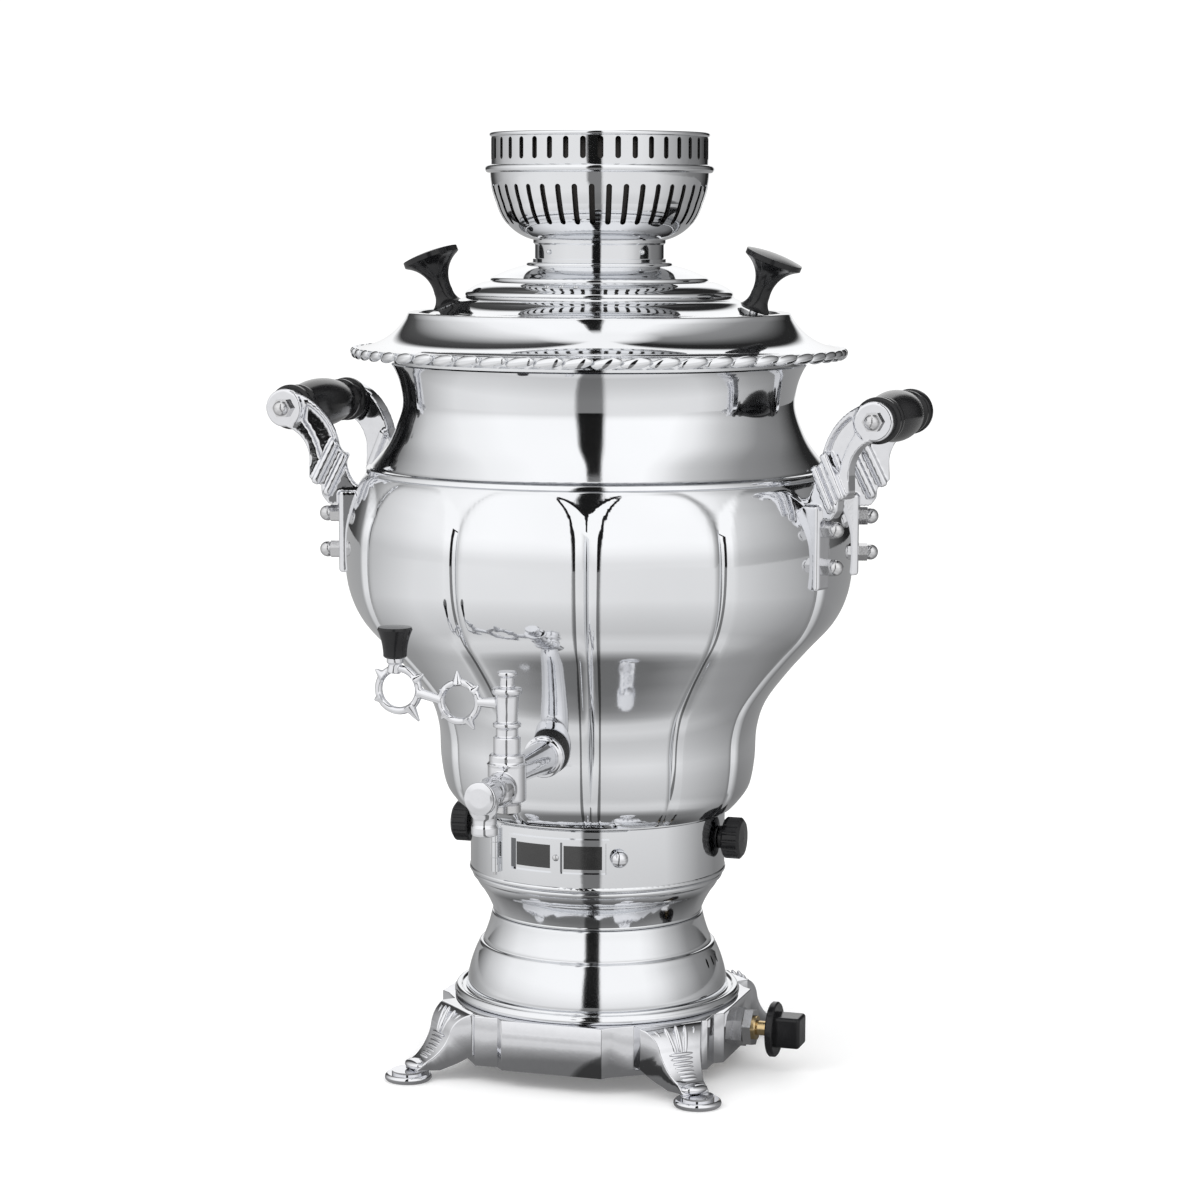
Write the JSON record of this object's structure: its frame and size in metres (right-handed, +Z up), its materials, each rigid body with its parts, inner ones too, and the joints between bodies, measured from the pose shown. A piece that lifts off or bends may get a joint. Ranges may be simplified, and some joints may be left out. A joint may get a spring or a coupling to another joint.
{
  "type": "samovar",
  "caption": "Gas samovar with a lobed tank, cast footed base, fire door, front tap with lever key, side handles, lift-off lid and slotted teapot stand.",
  "frame": {"origin": "on the floor, under the vertical axis of the tank", "axes": "+Z up, -Y toward the tap and fire door, +X toward the gas valve"},
  "size_m": [0.377, 0.3511, 0.5401],
  "materials": {
    "polished_chrome": "mirror polished plate on spun sheet",
    "cast_chrome": "bright plate on castings",
    "black_gloss": "gloss black moulded",
    "mica_pane": "smoky window sheet",
    "rubber_seal": "matt black seal",
    "brass_fitting": "machined",
    "plated_fastener": "bright zinc or chrome plate",
    "burner_iron": "rough cast",
    "flue_steel": "rolled sheet"
  },
  "bodies": {
    "root": {"base_casting": "cast_chrome", "bracket_inner_nuts": "plated_fastener", "bracket_nuts": "plated_fastener", "bracket_studs": "plated_fastener", "burner_head": "burner_iron", "burner_tube": "flue_steel", "door_hinge_pin": "plated_fastener", "firebox_band": "polished_chrome", "flue_tube": "flue_steel", "foot_pads": "cast_chrome", "gas_feed_tube": "brass_fitting", "gas_inlet_barb": "brass_fitting", "gas_inlet_nut": "brass_fitting", "gas_valve_body": "brass_fitting", "gas_valve_nuts": "plated_fastener", "handle_bracket_left_front": "cast_chrome", "handle_bracket_left_rear": "cast_chrome", "handle_bracket_right_front": "cast_chrome", "handle_bracket_right_rear": "cast_chrome", "handle_grip_left": "black_gloss", "handle_grip_right": "black_gloss", "handle_nuts": "plated_fastener", "handle_rods": "plated_fastener", "pedestal_drum": "polished_chrome", "pedestal_neck": "polished_chrome", "rim_collar": "polished_chrome", "side_knob_nuts": "plated_fastener", "tank_bottom": "flue_steel", "tank_shell": "polished_chrome", "tap_back_nut": "brass_fitting", "tap_body": "cast_chrome", "tap_gasket": "rubber_seal"},
    "fire_door": {"firebox_door": "polished_chrome", "door_windows": "mica_pane", "door_knob": "cast_chrome", "door_screw": "plated_fastener"},
    "tap_key": {"tap_key": "cast_chrome", "tap_knob": "black_gloss", "tap_bottom_nut": "plated_fastener"},
    "gas_knob": {"gas_valve_stem": "brass_fitting", "gas_valve_knob": "black_gloss"},
    "lid": {"lid": "polished_chrome", "lid_knob_left": "black_gloss", "lid_knob_right": "black_gloss", "lid_knob_screws": "plated_fastener"},
    "crown": {"crown": "polished_chrome"},
    "thumb_screw_left": {"side_knob_left": "black_gloss"},
    "thumb_screw_right": {"side_knob_right": "black_gloss"}
  },
  "joints": [
    {"name": "door_swing", "type": "hinge", "parent": "root", "child": "fire_door", "pos_m": [-0.04007, -0.06669, 0.134], "axis": [0, 0, -1], "range_deg": [0, 110]},
    {"name": "tap_turn", "type": "hinge", "parent": "root", "child": "tap_key", "pos_m": [0, -0.161, 0.2], "axis": [0, 0, 1], "range_deg": [0, 90]},
    {"name": "gas_turn", "type": "hinge", "parent": "root", "child": "gas_knob", "pos_m": [0.1, 0, 0.024], "axis": [-1, 0, 0], "range_deg": [0, 180]},
    {"name": "lid_lift", "type": "slide", "parent": "root", "child": "lid", "axis": [0, 0, 1], "range_m": [0, 0.08]},
    {"name": "crown_lift", "type": "slide", "parent": "lid", "child": "crown", "axis": [0, 0, 1], "range_m": [0, 0.08]},
    {"name": "thumb_left_turn", "type": "hinge", "parent": "root", "child": "thumb_screw_left", "pos_m": [-0.08, 0, 0.1355], "axis": [-1, 0, 0], "continuous": true},
    {"name": "thumb_right_turn", "type": "hinge", "parent": "root", "child": "thumb_screw_right", "pos_m": [0.08, 0, 0.1355], "axis": [1, 0, 0], "continuous": true}
  ]
}
